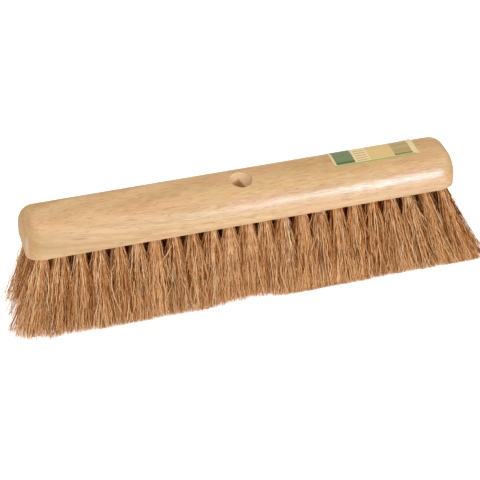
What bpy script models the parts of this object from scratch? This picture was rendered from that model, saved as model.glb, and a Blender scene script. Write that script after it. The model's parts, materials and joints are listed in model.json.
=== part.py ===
"""Wide floor broom head: a crowned wooden block, coir tufts in staggered rows and a paper label.

Metres, +Z up. The broom stands on its bristle tips at z = 0 with the block's length along X.
Its front is at -Y, and the handle socket leans back towards +Y.
"""

import math

import bmesh
import bpy
from mathutils import Matrix, Vector

# The wooden block. Its section is an upright side and then a quarter ellipse up to the flat crown.
BLOCK_LENGTH = 0.410
BLOCK_WIDTH = 0.057
BLOCK_HEIGHT = 0.033
SIDE_HEIGHT = 0.0127
CROWN_REACH = 0.021  # how far the crown's curve comes in from each long side
CROWN_STEPS = 6
BOTTOM_EDGE_ROUND = 0.0015
BOTTOM_EDGE_STEPS = 2

# The block's ends, rounded as seen from above and as seen from the side.
PLAN_ROUND_LENGTH = 0.018
PLAN_ROUND_DEPTH = 0.0115
TOP_ROUND_LENGTH = 0.013
TOP_ROUND_DROP = 0.0143
END_STEPS = 5

# The blind socket for the handle, which leans back from upright.
SOCKET_DIAMETER = 0.021
SOCKET_DEPTH = 0.018
SOCKET_LEAN = math.radians(25)
SOCKET_MOUTH_Y = -0.002
SOCKET_SIDES = 32

# The tufts: as many rows across the block as fit, each next row shifted by half the spacing.
TUFTS_IN_LONG_ROW = 23
END_MARGIN = 0.0136  # from the block's end to the first tuft's axis
SIDE_MARGIN = 0.0083  # from the block's side to the outer rows' axes
LEAST_WALL = 0.0006  # the least wood left between the grooves of neighbouring rows
HOLE_DEPTH = 0.009
HOLE_SIDES = 12
TUFT_RADIUS = 0.0042
FIT_GAP = 0.0003  # left between pieces that touch

# The strands that stand for the fibres.
FREE_LENGTH = 0.078  # from the block's underside to the tips
ROOT_DROP = 0.001  # how far a bundle stays whole below the underside, before it parts into strands
OUTER_STRANDS = 5
INNER_STRANDS = 4
STRAND_STEPS = 2
STRAND_GAP = 0.0008  # least gap between the tips of neighbouring tufts
TIP_SIZE_SHARE = 1.05  # a strand's tip against its root
BEND_POWER = 1.25  # above 1, a strand leaves its root nearly upright and leans more lower down
TRIM_UNEVENNESS = 0.0015
REST_CUT = 0.0005  # how much the floor side is cut flat where the broom stands on it
GOLDEN_SHARE = 0.618034

# How far the tips flare past the block.
LEFT_FLARE = 0.020
RIGHT_FLARE = 0.027
SIDE_FLARE = 0.0075
LEFT_LEAN_SPAN = 0.085  # the stretch of block over which the tufts start to lean, at each end
RIGHT_LEAN_SPAN = 0.150
LEAN_POWER = 1.6

# The backing slice that joins the tufts of an inner row.
SLICE_HEIGHT = 0.003
SLICE_RIM = 0.0002

# The paper label, wrapped over the crown near the right end.
LABEL_LENGTH = 0.082
LABEL_END_MARGIN = 0.0335  # from the block's right end
LABEL_FRONT_Y = -0.008
LABEL_REAR_Y = 0.0185
LABEL_THICKNESS = 0.0003
LABEL_STEPS = 8

OVERRUN = 0.002  # how far every cutter reaches past the surface it opens
MERGE_DISTANCE = 0.00001

# Worked out from the sizes above.
BLOCK_CENTRE_X = (LEFT_FLARE - RIGHT_FLARE) / 2
TUFT_SPACING = (BLOCK_LENGTH - 2 * END_MARGIN) / (TUFTS_IN_LONG_ROW - 1)
SLICE_REACH = TUFT_RADIUS + SLICE_RIM
LEAST_ROW_SPACING = 2 * (SLICE_REACH + FIT_GAP) + LEAST_WALL
ROW_COUNT = 1 + int((BLOCK_WIDTH - 2 * SIDE_MARGIN) / LEAST_ROW_SPACING)
ROW_SPACING = (BLOCK_WIDTH - 2 * SIDE_MARGIN) / (ROW_COUNT - 1)
TIP_ROW_SPACING = (BLOCK_WIDTH + 2 * SIDE_FLARE + STRAND_GAP) / ROW_COUNT
LAST_TUFT_X = BLOCK_LENGTH / 2 - END_MARGIN
LEFT_LEAN = END_MARGIN + LEFT_FLARE - (TUFT_SPACING - STRAND_GAP) / 2
RIGHT_LEAN = END_MARGIN + RIGHT_FLARE - (TUFT_SPACING - STRAND_GAP) / 2

WOOD = ("lacquered_beech", "DDB887", 0.32)
COIR = ("coir_fibre", "B5804F", 0.75)
LABEL_PAPER = ("label_paper", "E6DDB4", 0.45)


def clear_scene():
    for obj in list(bpy.data.objects):
        bpy.data.objects.remove(obj, do_unlink=True)


def new_collection(name):
    collection = bpy.data.collections.new(name)
    bpy.context.scene.collection.children.link(collection)
    return collection


def linear(channel):
    """One sRGB channel, 0 to 1, as linear light."""
    return channel / 12.92 if channel <= 0.04045 else ((channel + 0.055) / 1.055) ** 2.4


def make_material(name, hex_colour, roughness):
    material = bpy.data.materials.new(name)
    material.use_nodes = True
    shader = material.node_tree.nodes["Principled BSDF"]
    channels = [int(hex_colour[i : i + 2], 16) / 255 for i in (0, 2, 4)]
    shader.inputs["Base Color"].default_value = (*map(linear, channels), 1)
    shader.inputs["Roughness"].default_value = roughness
    shader.inputs["Metallic"].default_value = 0
    return material


def add_object(name, bm, collection, place=(0, 0, 0)):
    mesh = bpy.data.meshes.new(name)
    bm.to_mesh(mesh)
    bm.free()
    obj = bpy.data.objects.new(name, mesh)
    obj.location = place
    collection.objects.link(obj)
    return obj


def add_cutter(name, bm, collection, place=(0, 0, 0)):
    obj = add_object(name, bm, collection, place)
    obj.hide_render = True
    obj.display_type = "WIRE"
    return obj


def combine(obj, other, operation):
    modifier = obj.modifiers.new(f"{operation.lower()}_{other.name}", "BOOLEAN")
    modifier.operation = operation
    modifier.solver = "EXACT"
    modifier.object = other


def crown_point(angle, side):
    """A point of the crown's curve: angle 0 is the top of the upright side, 90 degrees the crown."""
    y = BLOCK_WIDTH / 2 - CROWN_REACH * (1 - math.cos(angle))
    z = SIDE_HEIGHT + (BLOCK_HEIGHT - SIDE_HEIGHT) * math.sin(angle)
    return side * y, z


def crown_height(y):
    """The block's height above its underside at a place across it."""
    past_flat = max(0, abs(y) - (BLOCK_WIDTH / 2 - CROWN_REACH)) / CROWN_REACH
    return SIDE_HEIGHT + (BLOCK_HEIGHT - SIDE_HEIGHT) * math.sqrt(max(0, 1 - past_flat**2))


def crown_normal(y):
    """The direction that points straight out of the crown at a place across it."""
    past_flat = max(0, abs(y) - (BLOCK_WIDTH / 2 - CROWN_REACH)) / CROWN_REACH
    rise = (BLOCK_HEIGHT - SIDE_HEIGHT) / CROWN_REACH
    tilt = math.copysign(rise * past_flat / math.sqrt(1 - past_flat**2), y)
    return Vector((0, tilt, 1)).normalized()


def quarter(steps):
    """Angles from 0 to 90 degrees."""
    return [math.pi / 2 * step / steps for step in range(steps + 1)]


def bottom_edge_point(angle, side):
    """A point of the rounded bottom edge: angle 0 is on the underside, 90 degrees on the side."""
    y = BLOCK_WIDTH / 2 - BOTTOM_EDGE_ROUND * (1 - math.sin(angle))
    return side * y, BOTTOM_EDGE_ROUND * (1 - math.cos(angle))


def block_section():
    """The section's outline from the front of the underside over the crown to its rear."""
    front = [bottom_edge_point(angle, -1) for angle in quarter(BOTTOM_EDGE_STEPS)]
    front += [crown_point(angle, -1) for angle in quarter(CROWN_STEPS)]
    return front + [(-y, z) for y, z in reversed(front)]


def end_loss(x, length, depth):
    """How much an end's elliptical rounding takes off, at a place along the block."""
    into_round = max(0, x - (BLOCK_LENGTH / 2 - length)) / length
    return depth * (1 - math.sqrt(max(0, 1 - into_round**2)))


def block_stations():
    """Places from the middle to the right end, each with the section's width and height there,
    as shares, and how far the rounded bottom edge lifts it."""
    reach = max(PLAN_ROUND_LENGTH, TOP_ROUND_LENGTH)
    places = [BLOCK_LENGTH / 2 - reach * (1 - math.sin(angle)) for angle in quarter(END_STEPS)]
    stations = []
    for x in places:
        narrowing = 2 * end_loss(x, PLAN_ROUND_LENGTH, PLAN_ROUND_DEPTH)
        lift = end_loss(x, BOTTOM_EDGE_ROUND, BOTTOM_EDGE_ROUND)
        drop = end_loss(x, TOP_ROUND_LENGTH, TOP_ROUND_DROP) + lift
        stations.append((x, 1 - narrowing / BLOCK_WIDTH, 1 - drop / BLOCK_HEIGHT, lift))
    return stations


def half_block():
    """The right half, open at the middle: the section is extruded and drawn in station by station."""
    bm = bmesh.new()
    face = bm.faces.new([bm.verts.new((0, y, z)) for y, z in block_section()])
    place, width, height, lift = 0, 1, 1, 0
    for new_place, new_width, new_height, new_lift in block_stations():
        face = bmesh.ops.extrude_discrete_faces(bm, faces=[face])["faces"][0]
        verts = face.verts
        bmesh.ops.translate(bm, vec=(new_place - place, 0, -lift), verts=verts)
        bmesh.ops.scale(bm, vec=(1, new_width / width, new_height / height), verts=verts)
        bmesh.ops.translate(bm, vec=(0, 0, new_lift), verts=verts)
        place, width, height, lift = new_place, new_width, new_height, new_lift
    bmesh.ops.recalc_face_normals(bm, faces=bm.faces)
    return bm


def row_places(row):
    """The places of one row's tufts along the block, from its centre."""
    long_row = row % 2 == 0
    count = TUFTS_IN_LONG_ROW if long_row else TUFTS_IN_LONG_ROW - 1
    return [(i - (count - 1) / 2) * TUFT_SPACING for i in range(count)]


def row_y(row):
    return (row - (ROW_COUNT - 1) / 2) * ROW_SPACING


def lean(x):
    """How far the tips of a tuft at x lean along the block: outwards, more towards each end."""
    left = max(0, LEFT_LEAN_SPAN - (x + LAST_TUFT_X)) / LEFT_LEAN_SPAN
    right = max(0, RIGHT_LEAN_SPAN - (LAST_TUFT_X - x)) / RIGHT_LEAN_SPAN
    return RIGHT_LEAN * right**LEAN_POWER - LEFT_LEAN * left**LEAN_POWER


def side_lean(row):
    """How far the tips of a row lean across the block, so that all rows spread evenly."""
    return row_y(row) / ROW_SPACING * (TIP_ROW_SPACING - ROW_SPACING)


def tip_height(number):
    """A strand's tip above the floor: the trim is uneven, and cut flat where the broom stands."""
    return max(0, TRIM_UNEVENNESS * (number * GOLDEN_SHARE % 1) - REST_CUT)


def add_strand(bm, face, root, tip_shift, tip_z):
    """Draw one strand out of a face of the root: it follows the tuft's lean and its own share of
    the fan, which keeps it inside the space that belongs to its tuft."""
    start = face.calc_center_median()
    out = Vector((start.x - root.x, start.y - root.y, 0))
    size = TIP_SIZE_SHARE * max((vert.co - start).length for vert in face.verts)
    fan = Vector((TUFT_SPACING, TIP_ROW_SPACING, 0)) / 2 - Vector((1, 1, 0)) * (STRAND_GAP / 2 + size)
    out_at_tip = Vector((out.x * fan.x, out.y * fan.y, 0)) / out.length
    middle, scale = start, 1
    for step in range(1, STRAND_STEPS + 1):
        down = step / STRAND_STEPS
        bend = down**BEND_POWER
        new_middle = start + (tip_shift + out_at_tip - out) * bend
        new_middle.z = start.z + (tip_z - start.z) * down
        new_scale = 1 + (TIP_SIZE_SHARE - 1) * down
        face = bmesh.ops.extrude_discrete_faces(bm, faces=[face])["faces"][0]
        for vert in face.verts:
            vert.co = new_middle + (vert.co - middle) * new_scale / scale
        middle, scale = new_middle, new_scale


def add_tuft(bm, x, row, place, strands, seat_height):
    """A tuft whose axis meets the underside at place, the mesh's origin being at that height."""
    root = Vector((*place, (seat_height - ROOT_DROP) / 2))
    bundle = bmesh.ops.create_cone(
        bm,
        cap_ends=True,
        cap_tris=True,
        segments=strands,
        radius1=TUFT_RADIUS,
        radius2=TUFT_RADIUS,
        depth=seat_height + ROOT_DROP,
        matrix=Matrix.Translation(root),
    )["verts"]
    lower_end = dict.fromkeys(
        face for vert in bundle for face in vert.link_faces if face.normal.z < -0.5
    )
    tip_shift = Vector((lean(x), side_lean(row), 0))
    first_number = round((x / TUFT_SPACING + TUFTS_IN_LONG_ROW) * 2) * ROW_COUNT + row
    for index, face in enumerate(lower_end):
        tip_z = tip_height(first_number * strands + index) - FREE_LENGTH
        add_strand(bm, face, root, tip_shift, tip_z)


def box(low, high):
    """A closed box between two corners."""
    bm = bmesh.new()
    bmesh.ops.create_cube(bm, size=1)
    low, high = Vector(low), Vector(high)
    bmesh.ops.scale(bm, vec=high - low, verts=bm.verts)
    bmesh.ops.translate(bm, vec=(low + high) / 2, verts=bm.verts)
    return bm


def add_to(bm, other):
    """Put a finished bmesh's faces into another one."""
    mesh = bpy.data.meshes.new("scratch")
    other.to_mesh(mesh)
    other.free()
    bm.from_mesh(mesh)
    bpy.data.meshes.remove(mesh)


def slice_box(row, gap):
    """The slice that joins an inner row's tufts, or with a gap the groove that takes it."""
    reach = SLICE_REACH + gap
    places = row_places(row)
    below = OVERRUN if gap else 0
    low = (places[0] - reach, -reach, -below)
    high = (places[-1] + reach, reach, SLICE_HEIGHT + gap)
    return box(low, high)


def outer_rows():
    return {"front": 0, "rear": ROW_COUNT - 1}


def inner_rows():
    return range(1, ROW_COUNT - 1)


def tuft_holes():
    """One drill for each tuft of the outer rows."""
    bm = bmesh.new()
    for row in outer_rows().values():
        for x in row_places(row):
            bmesh.ops.create_cone(
                bm,
                cap_ends=True,
                segments=HOLE_SIDES,
                radius1=TUFT_RADIUS + FIT_GAP,
                radius2=TUFT_RADIUS + FIT_GAP,
                depth=HOLE_DEPTH + OVERRUN,
                matrix=Matrix.Translation((x, row_y(row), (HOLE_DEPTH - OVERRUN) / 2)),
            )
    return bm


def row_grooves():
    bm = bmesh.new()
    for row in inner_rows():
        groove = slice_box(row, FIT_GAP)
        bmesh.ops.translate(groove, vec=(0, row_y(row), 0), verts=groove.verts)
        add_to(bm, groove)
    return bm


def socket_drill():
    """The handle's bore: its axis leans back, and it ends in a flat floor inside the block."""
    bm = bmesh.new()
    radius = SOCKET_DIAMETER / 2
    above = radius * math.tan(SOCKET_LEAN) + BLOCK_HEIGHT - crown_height(SOCKET_MOUTH_Y - radius) + OVERRUN
    turn = Matrix.Rotation(-SOCKET_LEAN, 4, "X")
    mouth = Matrix.Translation((0, SOCKET_MOUTH_Y, BLOCK_HEIGHT))
    bmesh.ops.create_cone(
        bm,
        cap_ends=True,
        segments=SOCKET_SIDES,
        radius1=radius,
        radius2=radius,
        depth=SOCKET_DEPTH + above,
        matrix=mouth @ turn @ Matrix.Translation((0, 0, (above - SOCKET_DEPTH) / 2)),
    )
    return bm


def make_block(parts, cutters, place):
    block = add_object("broom_block", half_block(), parts, place)
    block.data.shade_smooth()
    mirror = block.modifiers.new("two_halves", "MIRROR")
    mirror.use_axis = (True, False, False)
    mirror.merge_threshold = MERGE_DISTANCE
    combine(block, add_cutter("tuft_holes", tuft_holes(), cutters, place), "DIFFERENCE")
    combine(block, add_cutter("row_grooves", row_grooves(), cutters, place), "DIFFERENCE")
    combine(block, add_cutter("socket_drill", socket_drill(), cutters, place), "DIFFERENCE")
    return block


def make_outer_tufts(parts, place):
    """The front and rear rows: each tuft is a piece of its own in its drilled hole."""
    tufts = []
    for side, row in outer_rows().items():
        for number, x in enumerate(row_places(row), start=1):
            bm = bmesh.new()
            add_tuft(bm, x, row, (0, 0), OUTER_STRANDS, HOLE_DEPTH - FIT_GAP)
            seat = place + Vector((x, row_y(row), 0))
            tufts.append(add_object(f"{side}_tuft_{number:02d}", bm, parts, seat))
    return tufts


def make_inner_rows(parts, cutters, place):
    """The hidden rows: each one's tufts are fused to a slice that lies in the underside."""
    rows = []
    for row in inner_rows():
        seat = place + Vector((0, row_y(row), 0))
        obj = add_object(f"inner_tuft_row_{row}", slice_box(row, 0), parts, seat)
        bm = bmesh.new()
        for x in row_places(row):
            add_tuft(bm, x, row, (x, 0), INNER_STRANDS, SLICE_HEIGHT / 2)
        combine(obj, add_cutter(f"row_{row}_tufts", bm, cutters, seat), "UNION")
        rows.append(obj)
    return rows


def make_label(parts, place):
    """A sheet laid over the crown and given its thickness outwards."""
    bm = bmesh.new()
    bmesh.ops.create_grid(bm, x_segments=1, y_segments=LABEL_STEPS, size=1)
    for vert in bm.verts:
        y = LABEL_FRONT_Y + (LABEL_REAR_Y - LABEL_FRONT_Y) * (vert.co.y + 1) / 2
        outward = crown_normal(y)
        surface = Vector((vert.co.x * LABEL_LENGTH / 2, y, crown_height(y)))
        vert.co = surface + outward * FIT_GAP
    x = BLOCK_LENGTH / 2 - LABEL_END_MARGIN - LABEL_LENGTH / 2
    label = add_object("paper_label", bm, parts, place + Vector((x, 0, 0)))
    label.data.shade_smooth()
    paper = label.modifiers.new("paper", "SOLIDIFY")
    paper.thickness = LABEL_THICKNESS
    paper.offset = 1
    return label


def main():
    clear_scene()
    parts = new_collection("wide_floor_broom")
    cutters = new_collection("cutters")
    place = Vector((BLOCK_CENTRE_X, 0, FREE_LENGTH))
    groups = {
        WOOD: [make_block(parts, cutters, place)],
        COIR: make_outer_tufts(parts, place) + make_inner_rows(parts, cutters, place),
        LABEL_PAPER: [make_label(parts, place)],
    }
    origin = bpy.data.objects.new("broom_origin", None)
    parts.objects.link(origin)
    for finish, objects in groups.items():
        material = make_material(*finish)
        for obj in objects:
            obj.data.materials.append(material)
            obj.parent = origin


main()
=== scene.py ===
# %% [markdown]
# # A wide floor broom head
#
# The real thing is a length of beech, shaped to a low crown and lacquered, with five rows of coir tufts
# set in drilled holes, a slanting socket for the handle, and a paper label on the crown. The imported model
# holds every size and place, so this notebook starts from it and then makes each surface as fine as it
# shows. Nothing on a broom head moves, so every piece rides on the one body, `root`.

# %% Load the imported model
import json
import math

import bmesh
import bpy
import numpy as np
from mathutils import Matrix, Vector

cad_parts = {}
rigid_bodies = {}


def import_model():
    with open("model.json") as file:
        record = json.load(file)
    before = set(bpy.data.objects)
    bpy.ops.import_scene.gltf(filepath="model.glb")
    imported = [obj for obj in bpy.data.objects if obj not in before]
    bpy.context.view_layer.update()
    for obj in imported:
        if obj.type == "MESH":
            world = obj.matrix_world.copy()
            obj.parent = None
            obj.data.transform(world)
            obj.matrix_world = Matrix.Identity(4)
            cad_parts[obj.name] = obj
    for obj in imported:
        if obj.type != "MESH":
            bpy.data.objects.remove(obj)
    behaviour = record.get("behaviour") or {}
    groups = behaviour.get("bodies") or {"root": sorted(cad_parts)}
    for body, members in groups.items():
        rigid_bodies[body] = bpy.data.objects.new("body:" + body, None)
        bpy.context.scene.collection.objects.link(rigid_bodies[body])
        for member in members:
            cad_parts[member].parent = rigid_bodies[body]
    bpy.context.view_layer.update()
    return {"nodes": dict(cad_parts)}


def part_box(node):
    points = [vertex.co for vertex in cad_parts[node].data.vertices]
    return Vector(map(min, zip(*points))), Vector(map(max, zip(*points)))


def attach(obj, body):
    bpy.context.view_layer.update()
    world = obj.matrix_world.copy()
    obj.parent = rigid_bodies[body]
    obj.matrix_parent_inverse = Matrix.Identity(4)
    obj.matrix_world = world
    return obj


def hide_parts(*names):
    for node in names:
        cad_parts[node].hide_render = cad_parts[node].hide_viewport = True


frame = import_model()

scene = bpy.context.scene
scene.view_settings.view_transform = "Standard"  # keeps the colours as they are chosen

# %% [markdown]
# ## Sizes
#
# The block's box and the seats of a few tufts give all that the new pieces need. A tuft's seat could be
# typed in, but read from the frame it stays right when the model changes. The points of a tuft that lie
# above the block's underside are the ones inside its hole.

# %% Read the block's size
MM = 0.001
block_low, block_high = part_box("broom_block")
BLOCK_LENGTH, BLOCK_WIDTH, BLOCK_HEIGHT = block_high - block_low
BLOCK_CENTRE = Vector(((block_low.x + block_high.x) / 2, 0, block_low.z))  # the middle of its underside
FREE_LENGTH = block_low.z  # of a fibre, from the underside down to the floor
print(f"block {BLOCK_LENGTH:.3f} x {BLOCK_WIDTH:.3f} x {BLOCK_HEIGHT:.3f} m, {FREE_LENGTH:.3f} m up")


# %% Read the tufts' seats
def seat(node_name):
    """Where a tuft's bundle stands from the block's middle, and its radius, by its points in the block."""
    verts = frame["nodes"][node_name].data.vertices
    inside = {tuple(round(c, 6) for c in vert.co) for vert in verts if vert.co.z > block_low.z}
    middle = sum((Vector(point) for point in inside), Vector()) / len(inside)
    return middle - BLOCK_CENTRE, max((Vector(point).xy - middle.xy).length for point in inside)


LONG_ROW = sum(name.startswith("front_tuft_") for name in frame["nodes"])
ROWS = 2 + sum(name.startswith("inner_tuft_row_") for name in frame["nodes"])
first_seat, TUFT_RADIUS = seat("front_tuft_01")
last_seat = seat(f"front_tuft_{LONG_ROW:02d}")[0]
rear_seat = seat("rear_tuft_01")[0]
TUFT_SPACING = (last_seat.x - first_seat.x) / (LONG_ROW - 1)
ROW_SPACING = (rear_seat.y - first_seat.y) / (ROWS - 1)
print(f"{ROWS} rows, {LONG_ROW} tufts in a long one, {TUFT_SPACING:.4f} by {ROW_SPACING:.4f} m apart")

# %% [markdown]
# ## Small helpers
#
# Colours are picked as the hex codes that a paint program shows, which are stored for the eye. Blender
# mixes light, so one function turns a code to linear numbers. A second one adds a shader node with its
# settings and links. The others start and end a material, and turn a finished mesh into a piece of the
# broom.

# %% Colour and node
SHARE, BELOW, ABOVE = 0, 6, 7  # the inputs of a Mix node that lays one colour over another


def colour(code):
    """A hex colour, such as DDB887, as linear red, green, blue and alpha."""
    channels = [int(code[i : i + 2], 16) / 255 for i in (0, 2, 4)]
    return (*(c / 12.92 if c <= 0.04045 else ((c + 0.055) / 1.055) ** 2.4 for c in channels), 1)


def node(material, kind, inputs=(), ramp=(), **settings):
    """Add one node. An input is a number, a colour, an output, or a node for its first output in use."""
    tree = material.node_tree
    made = tree.nodes.new("ShaderNode" + kind)
    for name, value in settings.items():
        setattr(made, name, value)
    for socket, value in dict(inputs).items():
        if isinstance(value, bpy.types.Node):
            value = next(output for output in value.outputs if output.enabled)
        if isinstance(value, bpy.types.NodeSocket):
            tree.links.new(value, made.inputs[socket])
        else:
            made.inputs[socket].default_value = value
    for index, (place, code) in enumerate(ramp):
        stops = made.color_ramp.elements
        stop = stops[index] if index < 2 else stops.new(place)
        stop.position, stop.color = place, colour(code)
    return made


print("beech in linear light:", colour("DDB887"))


# %% Material and piece
def new_material(name):
    """A material with an empty node tree but for its output."""
    material = bpy.data.materials.new(name)
    material.use_nodes = True
    material.node_tree.nodes.remove(material.node_tree.nodes["Principled BSDF"])
    return material


def finish_with(material, inputs):
    """Give the material its shader."""
    shader = node(material, "BsdfPrincipled", inputs)
    surface = material.node_tree.nodes["Material Output"].inputs["Surface"]
    material.node_tree.links.new(shader.outputs["BSDF"], surface)
    print(f"finish: {material.name}, {len(material.node_tree.nodes)} nodes")


def mesh_of(bm, name):
    """Turn a finished bmesh into a mesh."""
    mesh = bpy.data.meshes.new(name)
    bm.to_mesh(mesh)
    bm.free()
    return mesh


def add_piece(name, mesh, slot, replaced, *materials):
    """Put a finished mesh in the scene: it rides on the broom and stands for the CAD nodes it replaces."""
    piece = bpy.data.objects.new(name, mesh)
    scene.collection.objects.link(piece)
    for material in materials:
        mesh.materials.append(material)
    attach(piece, "root")
    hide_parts(*replaced)
    return piece


print("helpers ready")

# %% [markdown]
# ## The finish of the block: lacquered beech
#
# Beech is a pale, even tan wood. What tells it from pine or oak is a rain of short thin dark dashes along
# the grain, the ends of its rays. A photograph of wood could show them, but it would need unwrapping and
# would stop at the edges. Here noises make them, each stretched along the grain by its own real size.
# They read Object coordinates, so the pattern runs through the block like real grain. First come those
# coordinates, in mm.

# %% The grain's own coordinates
GRAIN_SLOPE = -0.15  # at the left end, where the grain runs out of line: it eases off to the middle


def grain_coordinates(wood):
    """Object coordinates in mm, bent so that the grain slopes at the left end."""
    place = node(wood, "TexCoord").outputs["Object"]
    scaled = node(wood, "Mapping", {"Vector": place, "Scale": (1 / MM,) * 3})
    axes = node(wood, "SeparateXYZ", {"Vector": scaled}).outputs
    left = node(wood, "Math", {0: axes["X"], 1: 0.0}, operation="MINIMUM")
    squared = node(wood, "Math", {0: left, 1: 2.0}, operation="POWER")
    rise = node(wood, "Math", {0: squared, 1: GRAIN_SLOPE * MM / BLOCK_LENGTH}, operation="MULTIPLY")
    bent = node(wood, "Math", {0: axes["Z"], 1: rise}, operation="ADD")
    return node(wood, "CombineXYZ", {"X": axes["X"], "Y": axes["Y"], "Z": bent})


BEECH = new_material("lacquered_beech")
grain = grain_coordinates(BEECH)
print(f"the grain's coordinates take {len(BEECH.node_tree.nodes)} nodes")

# %% [markdown]
# The ground colour has wide drifts from darker to paler and from yellowish to pinkish, faint growth rings
# round the trunk's middle, and pale streaks. Each layer is mixed over the one before, as a grainer lays
# glazes.

# %% Ground colour
DRIFT_SIZE = (120, 24, 24)  # mm
DRIFT_TONES = [(0.32, "B8915D"), (0.68, "CBA777")]
HUE_SIZE = (70, 17, 17)  # mm
PINK, PINK_SHARE = "CD9F77", 0.65
RING_SPACING = 6.5  # mm
RING_AXIS = (0, 38, -62)  # mm, the trunk's middle below and behind the block
RING_SQUEEZE = 0.02  # of the trunk's length counts, so that the rings hardly change along it
RING_STRENGTH = 0.12
WAVE_RINGS_PER_UNIT = 20 / (2 * math.pi)  # a Wave texture in rings repeats this often in one unit
STREAK_SIZE = (11, 1.3, 1.3)  # mm
STREAK_TONE, STREAK_STRENGTH = "DAB88B", 0.55


def stretched(material, place, size, detail, offset=0):
    """Noise whose blobs have the given length, width and height in mm."""
    scaled = node(material, "Mapping", {"Vector": place, "Scale": [1 / s for s in size]})
    moved = node(material, "VectorMath", {0: scaled, 1: (0, 0, offset)}, operation="ADD")
    return node(material, "TexNoise", {"Vector": moved, "Scale": 1.0, "Detail": detail})


def ground_colour(wood):
    """The wood's colour before its dashes, layer over layer."""
    base = node(wood, "ValToRGB", {"Fac": stretched(wood, grain, DRIFT_SIZE, 2)}, ramp=DRIFT_TONES)
    pinker = node(wood, "Mix", {SHARE: PINK_SHARE, BELOW: base, ABOVE: colour(PINK)}, data_type="RGBA")
    noise = stretched(wood, grain, HUE_SIZE, 2, 7)
    hue = node(wood, "MapRange", {"Value": noise, "From Min": 0.35, "From Max": 0.65})
    base = node(wood, "Mix", {SHARE: hue, BELOW: base, ABOVE: pinker}, data_type="RGBA")
    from_axis = node(wood, "Mapping", {"Vector": grain, "Location": [-c for c in RING_AXIS]})
    squeezed = node(wood, "Mapping", {"Vector": from_axis, "Scale": (RING_SQUEEZE, 1, 1)})
    rings_per_mm = 1 / (RING_SPACING * WAVE_RINGS_PER_UNIT)
    wave = {"Vector": squeezed, "Scale": rings_per_mm, "Distortion": 2.5, "Detail": 2.0}
    rings = node(wood, "TexWave", wave, wave_type="RINGS", rings_direction="X")
    layers = {SHARE: RING_STRENGTH, BELOW: base, ABOVE: rings}
    base = node(wood, "Mix", layers, data_type="RGBA", blend_type="SOFT_LIGHT")
    noise = {"Value": stretched(wood, grain, STREAK_SIZE, 2, 3), "From Min": 0.5, "From Max": 0.72}
    streak = node(wood, "MapRange", {**noise, "To Max": STREAK_STRENGTH})
    return node(wood, "Mix", {SHARE: streak, BELOW: base, ABOVE: colour(STREAK_TONE)}, data_type="RGBA")


ground = ground_colour(BEECH)
print(f"with the ground colour, {len(BEECH.node_tree.nodes)} nodes")

# %% [markdown]
# A dash is where one noise crosses its middle value, which draws long thin lines, and a second noise
# breaks the lines up. The cut ends of the block are darker, because end grain drinks more lacquer. The
# left end has two marks of its own, as every piece of wood has somewhere, and two patches of painted
# light: a painted highlight down its front corner and painted shade over its lower front.

# %% Dashes
DASH_SIZE = (22, 1.9, 1.9)  # mm, from one line to the next
DASH_REACH = 0.046  # a line is drawn where the noise lies this near its middle value
BREAK_SIZE = (13, 2.0, 2.0)  # mm
DASH_STRENGTH = 0.8
DARK_TONE = "A67A49"


def ray_dashes(wood):
    """How strongly a dash shows, from none to its full strength."""
    off_middle = node(wood, "Math", {0: stretched(wood, grain, DASH_SIZE, 2), 1: 0.5}, operation="SUBTRACT")
    away = node(wood, "Math", {0: off_middle}, operation="ABSOLUTE")
    line = node(wood, "MapRange", {"Value": away, "From Min": DASH_REACH, "From Max": 0.0})
    noise = {"Value": stretched(wood, grain, BREAK_SIZE, 1, 5), "From Min": 0.4, "From Max": 0.6}
    broken = node(wood, "MapRange", {**noise, "To Max": DASH_STRENGTH})
    return node(wood, "Math", {0: line, 1: broken}, operation="MULTIPLY")


dashes = ray_dashes(BEECH)
dashed = node(BEECH, "Mix", {SHARE: dashes, BELOW: ground, ABOVE: colour(DARK_TONE)}, data_type="RGBA")
print(f"with the dashes, {len(BEECH.node_tree.nodes)} nodes")

# %% Marks, painted light and end grain
# Each mark's place and its reach along the axes, in mm, its colour and how strong it is.
MARKS_AND_PAINTED_LIGHT = [
    ((-160.5, -27.9, 94.5), (11, 5, 1.7), "9F7040", 0.85),
    ((-190, -27.9, 91), (20, 5, 3.4), "A67A49", 0.45),
    # A painted highlight: a pale pinkish gleam down the front corner of the left end.
    ((-207.4, -20.9, 94), (3.2, 5, 19), "F4DAC8", 0.7),
    # Painted shade: a broad darkening over the lower front towards the left end, where the light falls off.
    ((-190, -28.5, 92), (80, 14, 20), "B08A58", 0.55),
]
END_GRAIN_MARK = "end_grain"  # an attribute of the block: how squarely its surface cuts across the grain
END_GRAIN = {"From Min": 0.3, "From Max": 0.8, "To Max": 0.35}


def with_marks_and_painted_light(wood, base):
    """Lay each entry over the colour below, strongest at its middle: wood marks, a painted highlight and
    painted shade.
    """
    for (x, y, z), reach, code, strength in MARKS_AND_PAINTED_LIGHT:
        middle = (-x, -y, -z - GRAIN_SLOPE * MM / BLOCK_LENGTH * x**2)
        moved = node(wood, "Mapping", {"Vector": grain, "Location": middle})
        near = node(wood, "Mapping", {"Vector": moved, "Scale": [1 / r for r in reach]})
        away = node(wood, "VectorMath", {0: near}, operation="LENGTH")
        fade = {"Value": away, "From Min": 1.0, "From Max": 0.2, "To Max": strength}
        layers = {SHARE: node(wood, "MapRange", fade), BELOW: base, ABOVE: colour(code)}
        base = node(wood, "Mix", layers, data_type="RGBA")
    return base


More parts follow.
